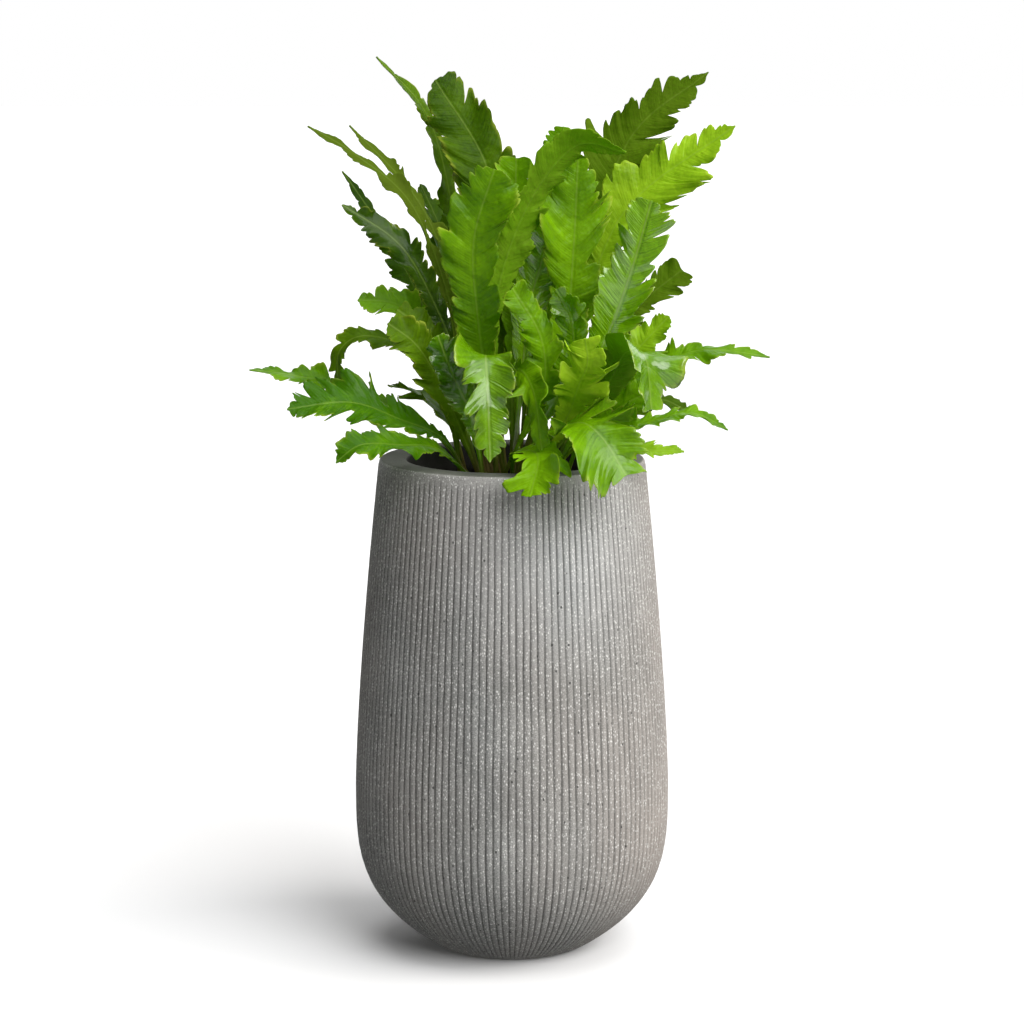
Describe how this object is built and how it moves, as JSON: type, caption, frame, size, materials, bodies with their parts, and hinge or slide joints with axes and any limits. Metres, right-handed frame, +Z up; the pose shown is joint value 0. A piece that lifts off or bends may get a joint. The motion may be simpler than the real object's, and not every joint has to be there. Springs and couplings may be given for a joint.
{
  "type": "potted bird's nest fern",
  "caption": "Bird's nest fern with frilled, lobed fronds rising from one crown, standing in a tall ribbed cement planter filled with soil.",
  "frame": {"origin": "centre of the planter's foot, on the surface it stands on", "axes": "+Z up along the planter's axis, -Y towards the side with the fronds that hang over the rim, +X to that side's right"},
  "size_m": [0.3982, 0.2853, 0.6815],
  "materials": {
    "cement": "matte",
    "peat": "matte",
    "rootstock": "matte",
    "leaf_dark": "satin",
    "leaf_mid": "satin",
    "leaf_light": "satin"
  },
  "bodies": {
    "root": {"planter": "cement", "soil": "peat", "crown": "rootstock", "frond_left_far": "leaf_mid", "frond_left_broad": "leaf_mid", "frond_left_low": "leaf_mid", "frond_left_shaded": "leaf_dark", "frond_left_arch": "leaf_dark", "frond_left_mid": "leaf_mid", "frond_left_dark": "leaf_dark", "frond_left_lobed": "leaf_dark", "frond_left_long": "leaf_dark", "frond_left_high": "leaf_dark", "frond_left_back": "leaf_dark", "frond_top_broad": "leaf_dark", "frond_top_curl": "leaf_dark", "frond_centre_light": "leaf_mid", "frond_centre_back": "leaf_mid", "frond_centre_long": "leaf_mid", "frond_centre_tall": "leaf_mid", "frond_centre_glossy": "leaf_mid", "frond_centre_far": "leaf_mid", "frond_front_small": "leaf_mid", "frond_right_dark": "leaf_dark", "frond_right_bright": "leaf_light", "frond_right_glossy": "leaf_mid", "frond_right_olive": "leaf_dark", "frond_right_back": "leaf_dark", "frond_right_mid": "leaf_light", "frond_right_bent": "leaf_mid", "frond_right_far": "leaf_mid", "frond_right_thin": "leaf_mid", "frond_right_rear": "leaf_dark", "frond_right_low": "leaf_light", "frond_right_pale": "leaf_light", "frond_front_broad": "leaf_mid", "frond_front_rim": "leaf_mid", "frond_front_droop": "leaf_mid", "frond_front_twist": "leaf_mid", "frond_front_upright": "leaf_mid", "frond_back_right_low": "leaf_dark", "frond_back_low": "leaf_dark", "frond_back_middle": "leaf_dark", "frond_back_left_low": "leaf_dark", "frond_back_left_far": "leaf_dark", "frond_back_right": "leaf_dark", "frond_back_tall": "leaf_dark", "frond_back_upright": "leaf_dark", "frond_left_inner": "leaf_dark", "frond_left_front": "leaf_mid", "frond_right_inner": "leaf_mid", "frond_right_under": "leaf_mid"}
  },
  "joints": []
}
